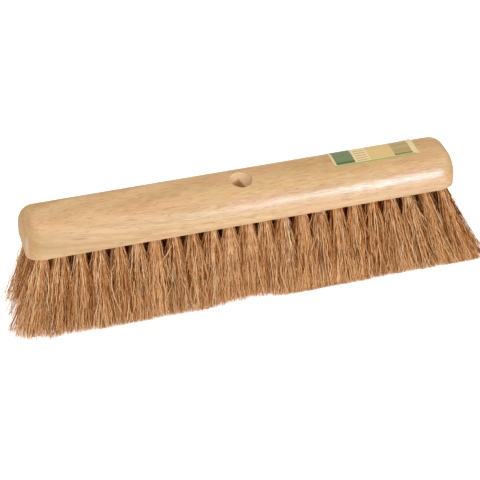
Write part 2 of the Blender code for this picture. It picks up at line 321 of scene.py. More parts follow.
cut = node(BEECH, "Attribute", attribute_name=END_GRAIN_MARK).outputs["Fac"]
end_share = node(BEECH, "MapRange", {"Value": cut, **END_GRAIN})
layers = {SHARE: end_share, BELOW: with_marks_and_painted_light(BEECH, dashed), ABOVE: colour(DARK_TONE)}
beech_colour = node(BEECH, "Mix", layers, data_type="RGBA")
print(f"with {len(MARKS_AND_PAINTED_LIGHT)} marks and the end grain, {len(BEECH.node_tree.nodes)} nodes")

# %% [markdown]
# A clear lacquer lies over the wood. Beech and lacquer both have an IOR near 1.5, but a coat that is
# drawn a little stronger stands for the several layers of it. It follows the fine ridges of the grain,
# which break up its highlights. It is dull at the ends, where it soaked in, and on the top, where hands
# have worn it.

# %% Lacquer
RIDGE_SIZE = (16, 1.6, 1.6)  # mm: real pores are a tenth as wide, too fine to show from here
PORE_SIZE = (6, 1.1, 1.1)  # mm, as fine as shows
GLOSS_SIZE = (24, 1.7, 1.7)  # mm, where the lacquer lies full and where it has sunk in
DASH_DEPTH = 0.15  # of a ridge
WOOD_BUMP = 0.12 * MM
LACQUER_BUMP = 0.3 * MM  # the lacquer sinks into the pores and dries thin on the ridges
DULL_MARK = "dull"  # another attribute of the block: 1 where the lacquer is dull
ROUGHER_WHERE_DULL = 0.3
FULL_COAT, DULL_COAT = 0.34, 0.02


def lacquer(wood):
    """The gloss and the relief, as inputs of the shader."""
    noise = {"Value": stretched(wood, grain, GLOSS_SIZE, 2, 11), "From Min": 0.4, "From Max": 0.6}
    gloss = node(wood, "MapRange", {**noise, "To Min": 0.38, "To Max": 0.62})
    dull = node(wood, "Attribute", attribute_name=DULL_MARK).outputs["Fac"]
    rougher = node(wood, "MapRange", {"Value": dull, "To Max": ROUGHER_WHERE_DULL})
    sunk = node(wood, "Math", {0: dashes, 1: DASH_DEPTH}, operation="MULTIPLY")
    ridges, pores = stretched(wood, grain, RIDGE_SIZE, 4, 9), stretched(wood, grain, PORE_SIZE, 1, 13)
    height = node(wood, "Math", {0: ridges, 1: sunk}, operation="SUBTRACT")
    pitted = node(wood, "Math", {0: height, 1: pores}, operation="ADD")
    return {
        "Roughness": node(wood, "Math", {0: gloss, 1: rougher}, operation="ADD"),
        "IOR": 1.5,
        "Specular IOR Level": 0.38,
        "Normal": node(wood, "Bump", {"Height": height, "Distance": WOOD_BUMP, "Strength": 1.0}),
        "Coat Weight": node(wood, "MapRange", {"Value": dull, "To Min": FULL_COAT, "To Max": DULL_COAT}),
        "Coat Roughness": 0.29,
        "Coat IOR": 1.8,
        "Coat Normal": node(wood, "Bump", {"Height": pitted, "Distance": LACQUER_BUMP, "Strength": 1.0}),
    }


finish_with(BEECH, {"Base Color": beech_colour, **lacquer(BEECH)})

# %% [markdown]
# ## The drilled wood
#
# The drill leaves bare wood in the socket and in the tuft holes. It is dull, with no lacquer. Its colour
# carries painted shade: it darkens down the socket and towards its middle, as the shade falls inside
# it. It could be the same wood made rougher, but it has its own short fibres and its own painted shade.
# The Mapping node turns the coordinates into the socket's own, in mm, so that one of them is the depth.

# %% Bare beech
SOCKET_LEAN = math.radians(25)
SOCKET_MOUTH = BLOCK_CENTRE + Vector((0, -2 * MM, BLOCK_HEIGHT))
# Painted shade in the socket: where the wall starts to darken, how much deeper it is dark, and how it eases
# to the sides.
DARK_FROM, DARK_DEPTH = 0.5, 5.0  # mm, where the wall starts to darken and how much deeper it is dark
DARK_MIDDLE = 1.0  # mm right of the socket's axis
DARK_LEFT, DARK_RIGHT = -0.4, 1.6  # mm that the wall stays pale deeper, for each mm to the left and right
SOCKET_SHADE_TONES = [(0.0, "F0CDA4"), (1.0, "AC7C4A"), (0.5, "C09160")]
SPECKLE_SIZE = (1.2, 1.2, 0.7)  # mm
SPECKLE_TONES = [(0.3, "EAE4DE"), (0.7, "FFFFFF")]


def painted_socket_shade(wood, place):
    """Painted shade on the socket's wall: paler at the mouth and to the sides, darker down in the middle."""
    axes = node(wood, "SeparateXYZ", {"Vector": place}).outputs
    across = node(wood, "Math", {0: axes["X"], 1: DARK_MIDDLE}, operation="SUBTRACT")
    left = node(wood, "Math", {0: across, 1: DARK_LEFT}, operation="MULTIPLY")
    right = node(wood, "Math", {0: across, 1: DARK_RIGHT}, operation="MULTIPLY")
    aside = node(wood, "Math", {0: left, 1: right}, operation="MAXIMUM")
    down = node(wood, "Math", {0: axes["Z"], 1: -1.0}, operation="MULTIPLY")
    depth = node(wood, "Math", {0: down, 1: aside}, operation="SUBTRACT")
    reach = {"Value": depth, "From Min": DARK_FROM, "From Max": DARK_FROM + DARK_DEPTH}
    return node(wood, "ValToRGB", {"Fac": node(wood, "MapRange", reach)}, ramp=SOCKET_SHADE_TONES)


def bare_beech():
    """Drilled beech: torn fibres, pale and dull, that catch no highlight."""
    wood = new_material("bare_beech")
    place = node(wood, "TexCoord").outputs["Object"]
    socket = {"Location": SOCKET_MOUTH, "Rotation": (-SOCKET_LEAN, 0, 0), "Scale": (MM,) * 3}
    drilled_place = node(wood, "Mapping", {"Vector": place, **socket}, vector_type="TEXTURE")
    speckle = stretched(wood, drilled_place, SPECKLE_SIZE, 2)
    shades = node(wood, "ValToRGB", {"Fac": speckle}, ramp=SPECKLE_TONES)
    layers = {SHARE: 1.0, BELOW: painted_socket_shade(wood, drilled_place), ABOVE: shades}
    dull = {"Value": speckle, "From Min": 0.3, "From Max": 0.7, "To Min": 0.75, "To Max": 0.95}
    inputs = {
        "Base Color": node(wood, "Mix", layers, data_type="RGBA", blend_type="MULTIPLY"),
        "Roughness": node(wood, "MapRange", dull),
        "Normal": node(wood, "Bump", {"Height": speckle, "Distance": WOOD_BUMP, "Strength": 1.0}),
    }
    finish_with(wood, inputs)
    return wood


BARE_BEECH = bare_beech()

# %% [markdown]
# ## The block
#
# A spindle moulder runs the crown along the whole length, and the ends are then rounded over. A
# subdivided box could be pushed to that shape, but its roundings would have no exact size. The model goes
# the moulder's way. One quad is the blank's section, and a bevel on its corners rounds it. The section is
# then extruded along X, station by station, and drawn in at the end. Only one half is made, and a mirror
# gives the other.

# %% The block's stations
PLAN_ROUND = (18 * MM, 11.5 * MM)  # the end's rounding as seen from above: length and depth
TOP_ROUND = (13 * MM, 14.3 * MM)  # and as seen from the side
BOTTOM_EDGE_RADIUS = 0.8 * MM
END_STATIONS = 16
STATION_SPACING = 3 * MM


def end_loss(x, length, depth):
    """How much an end's elliptical rounding takes off at x from the middle."""
    into = max(0, x - (BLOCK_LENGTH / 2 - length)) / length
    return depth * (1 - math.sqrt(max(0, 1 - into**2)))


def stations():
    """Places along the right half with the section's width, height and lift there."""
    straight = BLOCK_LENGTH / 2 - PLAN_ROUND[0]
    count = round(straight / STATION_SPACING)
    places = [straight * i / count for i in range(1, count + 1)]
    quarter = [math.pi / 2 * i / END_STATIONS for i in range(1, END_STATIONS + 1)]
    places += [straight + PLAN_ROUND[0] * math.sin(angle) for angle in quarter]
    for x in places:
        lift = end_loss(x, BOTTOM_EDGE_RADIUS, BOTTOM_EDGE_RADIUS)
        narrow = 2 * end_loss(x, *PLAN_ROUND)
        yield x, 1 - narrow / BLOCK_WIDTH, 1 - (end_loss(x, *TOP_ROUND) + lift) / BLOCK_HEIGHT, lift


print(f"{len(list(stations()))} stations on each half of the block")

# %% Shape the block
CROWN_RADIUS = 20.65 * MM
CROWN_SEGMENTS = 24
EDGE_SEGMENTS = 4
MERGE_DISTANCE = 0.01 * MM


def block_section():
    """The blank's upright section as one face with rounded corners."""
    bm = bmesh.new()
    upright = Matrix.Rotation(math.radians(90), 4, "Y")
    bmesh.ops.create_grid(bm, x_segments=1, y_segments=1, size=0.5, matrix=upright)
    bmesh.ops.scale(bm, vec=(1, BLOCK_WIDTH, BLOCK_HEIGHT), verts=bm.verts)
    bmesh.ops.translate(bm, vec=(0, 0, BLOCK_HEIGHT / 2), verts=bm.verts)
    corners = {
        (CROWN_RADIUS, CROWN_SEGMENTS): [v for v in bm.verts if v.co.z > 0],
        (BOTTOM_EDGE_RADIUS, EDGE_SEGMENTS): [v for v in bm.verts if v.co.z <= 0],
    }
    for (radius, segments), verts in corners.items():
        size = {"offset": radius, "offset_type": "OFFSET", "segments": segments, "clamp_overlap": False}
        bmesh.ops.bevel(bm, geom=verts, affect="VERTICES", profile=0.5, material=-1, **size)
    return bm


def block_body():
    """The section drawn out along one half, and that half mirrored."""
    bm = block_section()
    middle = face = bm.faces[:][0]
    before = (0, 1, 1, 0)
    for station in stations():
        face = bmesh.ops.extrude_discrete_faces(bm, faces=[face])["faces"][0]
        step, width, height = station[0] - before[0], station[1] / before[1], station[2] / before[2]
        bmesh.ops.translate(bm, vec=(step, 0, -before[3]), verts=face.verts)
        bmesh.ops.scale(bm, vec=(1, width, height), verts=face.verts)
        bmesh.ops.translate(bm, vec=(0, 0, station[3]), verts=face.verts)
        before = station
    if middle.is_valid:
        bmesh.ops.delete(bm, geom=[middle], context="FACES_ONLY")
    everything = bm.verts[:] + bm.edges[:] + bm.faces[:]
    bmesh.ops.mirror(bm, geom=everything, axis="X", merge_dist=MERGE_DISTANCE)
    bmesh.ops.recalc_face_normals(bm, faces=bm.faces)
    bmesh.ops.translate(bm, vec=BLOCK_CENTRE, verts=bm.verts)
    return bm


block_mesh = mesh_of(block_body(), "block_body")
print(f"block body: {len(block_mesh.polygons)} faces")

# %% [markdown]
# ## Drilling
#
# The socket leans back, so that the handle comes up towards the sweeper, and ends flat inside the block.
# The tuft holes stand upright in rows, every other row shifted by half a space. The holes could be
# modelled into the block face by face, but a Boolean modifier does what a drill does: each drill is a
# closed cylinder that is taken out of the block, and leaves its own bare wood on the wall. The modifiers
# are applied by reading the evaluated mesh.

# %% Places to drill
SOCKET_RADIUS = 10.5 * MM
SOCKET_DEPTH = 18 * MM
# The socket's own Z axis runs up and back.
SOCKET_AXIS = Matrix.Translation(SOCKET_MOUTH) @ Matrix.Rotation(-SOCKET_LEAN, 4, "X")
SOCKET_SIDES = 72
HOLE_DEPTH = 9 * MM
HOLE_CLEARANCE = 0.2 * MM
HOLE_SIDES = 16
DRILL_OVERRUN = 12 * MM


def row_places(row):
    """A row's tufts along the block, from its middle, with the row's place across."""
    count = LONG_ROW - row % 2
    y = (row - (ROWS - 1) / 2) * ROW_SPACING
    return [Vector(((i - (count - 1) / 2) * TUFT_SPACING, y, 0)) for i in range(count)]


def drill(bm, radius, length, sides, place):
    """Add a closed cylinder, along the Z axis of its place."""
    ends = {"radius1": radius, "radius2": radius, "depth": length}
    bmesh.ops.create_cone(bm, cap_ends=True, segments=sides, matrix=place, **ends)


hole_places = [place for row in range(ROWS) for place in row_places(row)]
print(f"one socket and {len(hole_places)} tuft holes to drill")


# %% Drill the block
def drills():
    """The socket's drill and all the tuft drills, each set as one mesh."""
    socket, holes = bmesh.new(), bmesh.new()
    along = Matrix.Translation((0, 0, (DRILL_OVERRUN - SOCKET_DEPTH) / 2))
    drill(socket, SOCKET_RADIUS, SOCKET_DEPTH + DRILL_OVERRUN, SOCKET_SIDES, SOCKET_AXIS @ along)
    up = Vector((0, 0, (HOLE_DEPTH - DRILL_OVERRUN) / 2))
    for place in hole_places:
        upright = Matrix.Translation(BLOCK_CENTRE + place + up)
        drill(holes, TUFT_RADIUS + HOLE_CLEARANCE, HOLE_DEPTH + DRILL_OVERRUN, HOLE_SIDES, upright)
    return mesh_of(socket, "socket"), mesh_of(holes, "holes")


def in_wood(mesh, material):
    """An object that is there only for the drilling: the blank or a drill."""
    obj = bpy.data.objects.new(mesh.name, mesh)
    mesh.materials.append(material)
    scene.collection.objects.link(obj)
    return obj


def drilled_block():
    """The block with its socket and its tuft holes, as one mesh."""
    blank = in_wood(block_mesh, BEECH)
    cutters = [in_wood(mesh, BARE_BEECH) for mesh in drills()]
    for cutter in cutters:
        hole = blank.modifiers.new(cutter.name, "BOOLEAN")
        hole.operation, hole.solver, hole.object = "DIFFERENCE", "EXACT", cutter
        hole.material_mode = "TRANSFER"
    ready = blank.evaluated_get(bpy.context.evaluated_depsgraph_get())
    mesh = bpy.data.meshes.new_from_object(ready)
    for obj in [blank, *cutters]:
        bpy.data.objects.remove(obj)
    return mesh


drilled = drilled_block()
print(f"drilled block: {len(drilled.polygons)} faces")

# %% [markdown]
# The drill leaves a sharp rim round the socket, which is broken with fine paper. A Bevel modifier would
# round the block's other edges too, so only the edges between lacquered and bare wood at the mouth are
# picked.

# %% Ease the socket's rim
RIM_ROUND = 0.5 * MM
RIM_SEGMENTS = 3
ON_RIM = 0.02 * MM  # a point this near the drill's wall lies on it


def ease_rim(mesh):
    """Round the sharp edge that the drill left at the socket's mouth, as fine paper would."""
    bm = bmesh.new()
    bm.from_mesh(mesh)
    to_socket = SOCKET_AXIS.inverted()
    rim = [
        edge
        for edge in bm.edges
        if len({face.material_index for face in edge.link_faces}) == 2
        and all(v.co.z > block_low.z + BLOCK_HEIGHT / 2 for v in edge.verts)
        and all(abs((to_socket @ v.co).xy.length - SOCKET_RADIUS) < ON_RIM for v in edge.verts)
    ]
    rounding = {"offset": RIM_ROUND, "segments": RIM_SEGMENTS, "profile": 0.5}
    # Material 0 is the lacquer, which runs over the eased rim.
    bmesh.ops.bevel(bm, geom=rim, affect="EDGES", material=0, **rounding)
    bm.to_mesh(mesh)
    bm.free()
    return len(rim)


print(f"{ease_rim(drilled)} rim edges eased")

# %% [markdown]
# Where the lacquer is dull and end grain shows depends on which way the surface faces. A mask could be
# painted, but the normals already say it, so each point gets two attributes that the finish reads. The
# drilled edges stay crisp, and the rest is shaded smooth.

# %% Mark the end grain and the dull lacquer
# How far along the block a surface faces where its lacquer starts to go dull, and where it is fully dull.
DULL_END = (0.15, 0.4)
DULL_TOP = (0.7, 0.9)  # and the same for how far it faces up
SHARP_ANGLE = math.radians(40)

facing = np.array([vert.normal for vert in drilled.vertices])
ends, top = np.abs(facing[:, 0]), facing[:, 2]
dull = np.maximum(np.interp(ends, DULL_END, (0, 1)), np.interp(top, DULL_TOP, (0, 1)))
for name, values in ((END_GRAIN_MARK, ends), (DULL_MARK, dull)):
    drilled.attributes.new(name, "FLOAT", "POINT").data.foreach_set("value", values)
drilled.shade_smooth()
drilled.set_sharp_from_angle(angle=SHARP_ANGLE)
block = add_piece("lacquered_block", drilled, "wood", ["broom_block"])
print(f"{block.name}: {len(drilled.polygons)} faces, finishes {drilled.materials.keys()}")

# %% [markdown]
# ## The finish of the tufts: coir
#
# Coir is coconut husk fibre, stiff, dull and orange-brown. No two fibres have quite the same tone, and
# that, with the dark gaps between them, is what the eye reads as a brush. A random colour for each object
# would need an object for each fibre. Here each fibre lies on its own narrow strip of a UV map: across
# the map the tone goes from dark to bleached, and down it the fibre runs from root to tip. The material
# is one ramp across and some mottling down, and every fibre picks its tone by its strip. Down from the
# root, fibres that the light doesn't reach get painted shade, and all tips are paler.

# %% Coir
# a map of this name stays with the piece when the model is exported
FIBRE_MAP = "OFBake"  # the fibres' UV map, which the material reads
TONES = 48  # strips across the map
FIBRE_TONES = [(0.0, "4A1C02"), (1.0, "FFD9AA"), (0.2, "9E5014"), (0.5, "E9A667"), (0.8, "F8C389")]
SPOTS = (TONES * 2.0, 24.0, 1.0)  # across the map and down it, where a spot on a lit fibre is 7 mm long
SPOT_TONES = [(0.3, "A8907A"), (0.54, "FFFFFF")]
# Painted shade near the roots of fibres that the light doesn't reach, under the block and between rows.
ROOT_SHADE = 0.5  # a hidden fibre is dark down to this share of the map, which a lit one leaves out
ROOT_SHADE_TONE, ROOT_SHADE_STRENGTH = "7C360C", 0.88
TIP_SHARE_DOWN = 0.8  # below this share of the map the fibre gets paler
TIP_TONE, TIP_STRENGTH = "E0AE74", 0.25


def coir_fibre():
    """Husk fibre: dry and matt, so that it shows its tone and hardly any sheen."""
    coir = new_material("coir_fibre")
    strand = node(coir, "UVMap", uv_map=FIBRE_MAP)
    axes = node(coir, "SeparateXYZ", {"Vector": strand}).outputs
    spots = node(coir, "Mapping", {"Vector": strand, "Scale": SPOTS})
    mottle = node(coir, "TexNoise", {"Vector": spots, "Scale": 1.0, "Detail": 3.0})
    layers = {
        SHARE: 1.0,
        BELOW: node(coir, "ValToRGB", {"Fac": axes["X"]}, ramp=FIBRE_TONES),
        ABOVE: node(coir, "ValToRGB", {"Fac": mottle}, ramp=SPOT_TONES),
    }
    mottled = node(coir, "Mix", layers, data_type="RGBA", blend_type="MULTIPLY")
    # Painted shade down from the root on hidden fibres.
    shade = {"Value": axes["Y"], "From Min": ROOT_SHADE, "From Max": 0.24, "To Max": ROOT_SHADE_STRENGTH}
    layers = {SHARE: node(coir, "MapRange", shade), BELOW: mottled, ABOVE: colour(ROOT_SHADE_TONE)}
    root_shaded = node(coir, "Mix", layers, data_type="RGBA")
    paler = {"Value": axes["Y"], "From Min": TIP_SHARE_DOWN, "From Max": 1.0, "To Max": TIP_STRENGTH}
    layers = {SHARE: node(coir, "MapRange", paler), BELOW: root_shaded, ABOVE: colour(TIP_TONE)}
    rough = {"Value": mottle, "From Min": 0.3, "From Max": 0.7, "To Min": 0.55, "To Max": 0.8}
    inputs = {
        "Base Color": node(coir, "Mix", layers, data_type="RGBA"),
        "Roughness": node(coir, "MapRange", rough),
        "IOR": 1.5,
        "Specular IOR Level": 0.02,
    }
    finish_with(coir, inputs)
    return coir


COIR = coir_fibre()

# %% [markdown]
# ## One fibre
#
# A tuft has hundreds of fibres, so one fibre must be light. It starts as a three-sided prism with closed
# ends, whose long edges are cut so that it can bend. Smooth shading makes it look round. Hair curves
# would be lighter still, but a library part needs real meshes.

# %% Make the fibre
FINE_CUTS, PLAIN_CUTS = 10, 3  # across a fibre that is seen and one that is hidden


def fibre_shape(cuts):
    """One fibre as arrays: points, each face's first corner, the corners' points and their map places."""
    bm = bmesh.new()
    down = Matrix.Translation((0, 0, -0.5))
    bmesh.ops.create_cone(bm, cap_ends=True, segments=3, radius1=1, radius2=1, depth=1, matrix=down)
    long_edges = [e for e in bm.edges if abs(e.verts[0].co.z - e.verts[1].co.z) > 0.5]
    bmesh.ops.subdivide_edges(bm, edges=long_edges, cuts=cuts)
    bm.normal_update()
    bm.verts.index_update()
    places = []
    for face in bm.faces:
        for number, loop in enumerate(face.loops):
            corner = loop.vert.co
            across = 0.5 + 0.5 * math.copysign(1, face.normal.cross(corner).z)
            if abs(face.normal.z) > 0.5:
                across = number / 2
            places.append((across, -corner.z))
    shape = {
        "points": np.array([v.co for v in bm.verts]),
        "corners": np.array([loop.vert.index for face in bm.faces for loop in face.loops]),
        "starts": np.cumsum([0] + [len(face.verts) for face in bm.faces])[:-1],
        "map": np.array(places),
    }
    bm.free()
    return shape


FINE_FIBRE = fibre_shape(FINE_CUTS)
PLAIN_FIBRE = fibre_shape(PLAIN_CUTS)
print(f"a fibre has {len(FINE_FIBRE['starts'])} faces, a hidden one {len(PLAIN_FIBRE['starts'])}")

# %% [markdown]
# ## One tuft
#
# The fibres leave their hole as a tight round bundle and fan out below it, until they meet their
# neighbours. A particle system could grow them, but worked out with arrays the fan stays in hand: one row
# of numbers a fibre, drawn from a seeded generator. The first step is how a whole tuft leans. The tufts
# at the block's ends have no neighbour to hold them and lean outwards. Turning them would lift their tips
# off the floor, so the tips are shifted instead, by a curve that eases off along the row.

# %% The lean of a tuft
LEFT_LEAN, LEFT_SPAN = 16.5 * MM, 85 * MM  # of the end tuft's tips, and how far in from it tufts still lean
RIGHT_LEAN, RIGHT_SPAN = 27 * MM, 150 * MM
LEFT_EASE = 0.04  # how much less each row behind leans to the left
LEAN_POWER = 1.6  # above 1, the end tufts lean more than the next ones
SIDE_LEAN = (4.4 * MM, 3.0 * MM)  # from one row to the next, in front of the middle row and behind it
# The front row was never combed straight: a place along the block, and how far tips stand forward, in mm.
FRONT_EDGE = [
    (-205, 1), (-181, 6), (-150, 5.5), (-118, 10), (-86, 5), (-54, 9), (-22, 2.5), (0, 0.5), (15, 1),
    (41, 13), (57, 14.5), (73, 15), (89, 15), (105, 15), (121, 9), (136, 7), (152, 10), (168, 14),
    (184, 6), (200, 14),
]


def lean(x, row):
    """How far a tuft's tips lean along the block."""
    short = row % 2 * TUFT_SPACING / 2  # an odd row ends this much further in, and its right end leans more
    left = max(0, LEFT_SPAN - (x + last_seat.x)) / LEFT_SPAN
    right = max(0, RIGHT_SPAN - (last_seat.x - short - x)) / RIGHT_SPAN
    eased = LEFT_LEAN * (1 - LEFT_EASE * row)
    return (RIGHT_LEAN + short) * right**LEAN_POWER - eased * left**LEAN_POWER


def side_lean(tip_x, row):
    """How far the tips lean across the block, given their places along it."""
    front = np.interp(tip_x / MM, *zip(*FRONT_EDGE)) * MM
    behind = row - (ROWS - 1) / 2
    return behind * SIDE_LEAN[behind > 0] - front * max(0, 1 - row / 2)


print(f"the end tufts lean {lean(first_seat.x, 0) / MM:.1f} and {lean(last_seat.x, 0) / MM:.1f} mm")

# %% [markdown]
# In its hole a bundle is round, and its fibres stick together in locks. They could stand on a neat grid,
# but an even spacing looks like a comb. So each fibre takes a random place in the hole and joins the
# nearest of a few random locks. At the tips the bundle has become a fan that is crowded at the faces of
# the brush, each fibre is drawn to its lock, and a random stray loosens it all.

# %% A bundle in its hole
LOCKS = 34
BULK_POWER = 2.5  # above 1, most fibres are thin


def bundle(rng, count):
    """Each fibre's place in the round hole, from -1 to 1, its lock, and its thickness, from 0 to 1."""
    turn, reach = rng.uniform(0, 2 * np.pi, count), np.sqrt(rng.uniform(0, 1, count))
    root = np.stack([reach * np.cos(turn), reach * np.sin(turn)], 1)
    locks = rng.uniform(-1, 1, (LOCKS, 2))
    lock = np.linalg.norm(root[:, None] - locks[None], axis=2).argmin(1)
    return root, lock, rng.uniform(0, 1, count) ** BULK_POWER


print(f"{LOCKS} locks in a tuft")

# %% The fan of the tips
FAN = Vector((12.5 * MM, 8.5 * MM))  # the outermost tips reach this far along the block and across it
FACE_POWER = 0.4  # under 1 crowds the fibres to the front and rear face of the brush
LOCK_PULL = 0.3  # how far a fibre's tip is drawn to the middle of its lock
# How far a lock strays along the block, and the share of that by which it strays across.
LOCK_DRIFT, LOCK_FLATNESS = 3.0 * MM, 0.5
STRAY, STRAY_FLATNESS = 3.7 * MM, 0.35  # the same for one fibre
WIRY = 1.0  # how much more the thickest fibres stray
FLYAWAY_SHARE = 0.11  # of the fibres stray further
FLYAWAY_DRIFT, FLYAWAY_FLATNESS = 5.0 * MM, 0.3
FARTHEST = 9.5 * MM  # that a fibre strays along the block


def tips(rng, root, lock, bulk):
    """Where each tip stands from its tuft's middle: the fan, drawn together in locks, and then strayed."""
    stray = rng.normal(0, STRAY, root.shape) * (1 + WIRY * bulk)[:, None] * (1, STRAY_FLATNESS)
    drift = rng.normal(0, LOCK_DRIFT, (LOCKS, 2))[lock] * (1, LOCK_FLATNESS) + stray
    loose = rng.uniform(0, 1, len(root)) < FLYAWAY_SHARE
    drift[loose] += rng.normal(0, FLYAWAY_DRIFT, (loose.sum(), 2)) * (1, FLYAWAY_FLATNESS)
    drift[:, 0] = drift[:, 0].clip(-FARTHEST, FARTHEST)
    members = [root[lock == number] for number in range(LOCKS)]
    hearts = np.array([fibres.mean(0) if len(fibres) else (0, 0) for fibres in members])
    fan = root + (hearts[lock] - root) * LOCK_PULL
    fan[:, 1] = np.copysign(np.abs(fan[:, 1]) ** FACE_POWER, fan[:, 1])
    return fan * FAN + drift


print(f"a fan is {2 * FAN.x:.3f} m wide at the tips, and tufts are {TUFT_SPACING:.3f} m apart")

# %% [markdown]
# Coir keeps some of the husk's curve. A noise texture could shake the fibres, but it would move
# neighbours together. A wave of random length and height gives each one a bend of its own. Fibres that
# would stand far out of the brush are held back, so that it stays near the imported model's width.

# %% Curl, and how far out a fibre may stand
CURL = 2.6 * MM  # of a single wave down the fibre: shorter waves are lower
CURL_WAVES = (0.6, 4.0)
STEADY = 0.3  # a fibre curls less than its full amount down to this share
# Past the first, counted from the block's middle line, a fibre has only the room of the second.
SIDE_LIMIT, SIDE_ROOM = 42.5 * MM, 3.2 * MM
SCALLOP = 2.5 * MM  # at a tuft's sides the limit lies this much further in


def curls(rng, count, free):
    """How far each fibre waves along and across the block, at each share of its free length."""
    waves = rng.uniform(*CURL_WAVES, (count, 1, 2))
    phase = rng.uniform(0, 2 * np.pi, (count, 1, 2))
    wave = np.sin(2 * np.pi * waves * free + phase) - np.sin(phase)
    return rng.normal(0, CURL, (count, 1, 2)) / waves * wave * np.minimum(1, free / STEADY)


def held_back(y, root):
    """Places across the block, with those past the limit drawn in."""
    over = np.maximum(0, np.abs(y) - SIDE_LIMIT + SCALLOP * np.abs(root[:, None, 0]))
    return y - np.sign(y) * (over - SIDE_ROOM * (1 - np.exp(-over / SIDE_ROOM)))


print(f"centre lines stay within {SIDE_LIMIT + SIDE_ROOM:.4f} m of the block's middle line")

# %% [markdown]
# Fibres on the outer faces of the brush are paler. Those between two tufts, and the inner rows, get
# painted shade, since the light doesn't reach them. That could be painted on the finished tufts, but a
# number for each fibre follows it by rule and stays right when the fan changes. Chance adds the most,
# because every husk differs.

# %% Tone
MIDDLE_TONE = 0.43  # of a fibre inside a tuft, where 0 is dark and 1 is bleached
BULK_TONE = 0.24  # the thickest fibres are paler
FACE_TONE = 0.24  # and so are the outermost, on the faces of the brush
BETWEEN_TUFTS_SHADE = -0.2  # painted shade on the fibres between two tufts
INNER_SHADE = -0.3  # painted shade on the inner rows, but for their ends
TONE_DRIFT = 0.05  # the tufts get paler towards the left end
LOCK_TONE, FIBRE_TONE = 0.08, 0.32  # how much the tone varies from lock to lock and from fibre to fibre
PALEST = 0.999


def fibre_tones(rng, place, row, hidden, root, lock, bulk):
    """Each fibre's tone, from 0 to 1, with painted shade between tufts and on the inner rows."""
    outward = root[:, 1] * np.sign(row - (ROWS - 1) / 2)
    # The end tuft of a short row stands half a space further in than that of a long one.
    last_in_row = abs(place.x) > last_seat.x - 0.75 * TUFT_SPACING
    at_end = np.maximum(0, root[:, 0] * np.sign(place.x)) * last_in_row
    outward = np.where(at_end > 0, np.maximum(outward, at_end), outward)
    # The inner rows get painted shade, which fades out towards their ends.
    tone = MIDDLE_TONE - TONE_DRIFT * place.x / last_seat.x + INNER_SHADE * hidden
    tone = tone + BULK_TONE * bulk + FACE_TONE * outward
    # Painted shade on the fibres at a tuft's sides, between two tufts.
    tone += BETWEEN_TUFTS_SHADE * np.where(at_end > 0, 0, root[:, 0] ** 2)
    tone += LOCK_TONE * rng.normal(0, 1, LOCKS)[lock] + FIBRE_TONE * rng.normal(0, 1, len(root))
    return tone.clip(0, PALEST)


print(f"tones run from 0 to {PALEST}, on {TONES} strips")

# %% [markdown]
# Now the steps come together. Each fibre becomes a row of points from its root in the hole to its tip,
# and the tips are trimmed near the floor, a little unevenly, as shears leave them. Straight lines would
# do for the fan, but not for the lean and the curl, which grow towards the tip.

# %% Lay the fibres of one tuft
ROOT_HEIGHT = 5 * MM  # how far up the hole a fibre starts
HELD_SHARE = ROOT_HEIGHT / (ROOT_HEIGHT + FREE_LENGTH)  # of its length lies in the hole
SPLAY, SPLAY_DEPTH = 1.4 * MM, 0.03  # a bundle swells as it leaves its hole, in this share of the way down
LEAN_BEND = 0.85  # under 1, a fibre leans most at its tip
FLOOR_GAP = 0.3 * MM
TRIM = 0.8 * MM  # how unevenly the locks are cut
SHORT_FIBRE, SHORT_POWER = 7 * MM, 8  # the shortest fibres end this much higher: the power makes them few
FIBRE_RADIUS = (0.19 * MM, 0.42 * MM)  # of the thinnest and of the few thickest


def lay_fibres(rng, place, row, count, steps, hidden=0):
    """A tuft's centre lines, as an array of fibre, step and xyz, with their radii, tones and lit places."""
    down = np.linspace(0, 1, steps)[None, :, None]
    free = np.maximum(0, down - HELD_SHARE) / (1 - HELD_SHARE)
    root, lock, bulk = bundle(rng, count)
    start, tip = root * TUFT_RADIUS, tips(rng, root, lock, bulk)
    along = lean(place.x, row)
    slant = np.stack([np.full(count, along), side_lean(place.x + along + tip[:, 0], row)], 1)
    line = np.array(place.xy) + start[:, None] + (tip - start)[:, None] * free
    line += slant[:, None] * (1 - (1 - free) ** LEAN_BEND) + curls(rng, count, free)
    line += root[:, None] * SPLAY * (1 - np.exp(-free / SPLAY_DEPTH)) * (1 - free)
    line[..., 1] = held_back(line[..., 1], root)
    trim = FLOOR_GAP + np.abs(rng.normal(0, TRIM, LOCKS))[lock]
    trim += SHORT_FIBRE * rng.uniform(0, 1, count) ** SHORT_POWER
    height = ROOT_HEIGHT - (ROOT_HEIGHT + FREE_LENGTH - trim)[:, None] * down[..., 0]
    radius = FIBRE_RADIUS[0] + (FIBRE_RADIUS[1] - FIBRE_RADIUS[0]) * bulk
    tone = fibre_tones(rng, place, row, hidden, root, lock, bulk)
    lit = np.full(count, ROOT_SHADE * (1 - hidden))
    return np.concatenate([line, height[..., None]], 2), radius, tone, lit


print(f"{HELD_SHARE:.0%} of a fibre lies in its hole")

# %% [markdown]
# A curve with a round bevel would turn each line into a tube, but slowly for so many. Instead the points
# of the one fibre are set round all the lines of a tuft at once, each copy with a twist of its own, so
# that the facets of neighbours catch the light differently.

# %% Turn centre lines into tubes
TIP_SHARE = 0.9  # of the radius at the root
STRIP_MARGIN = 0.15  # of a strip stays free at each side, so that no fibre takes tone from the next strip


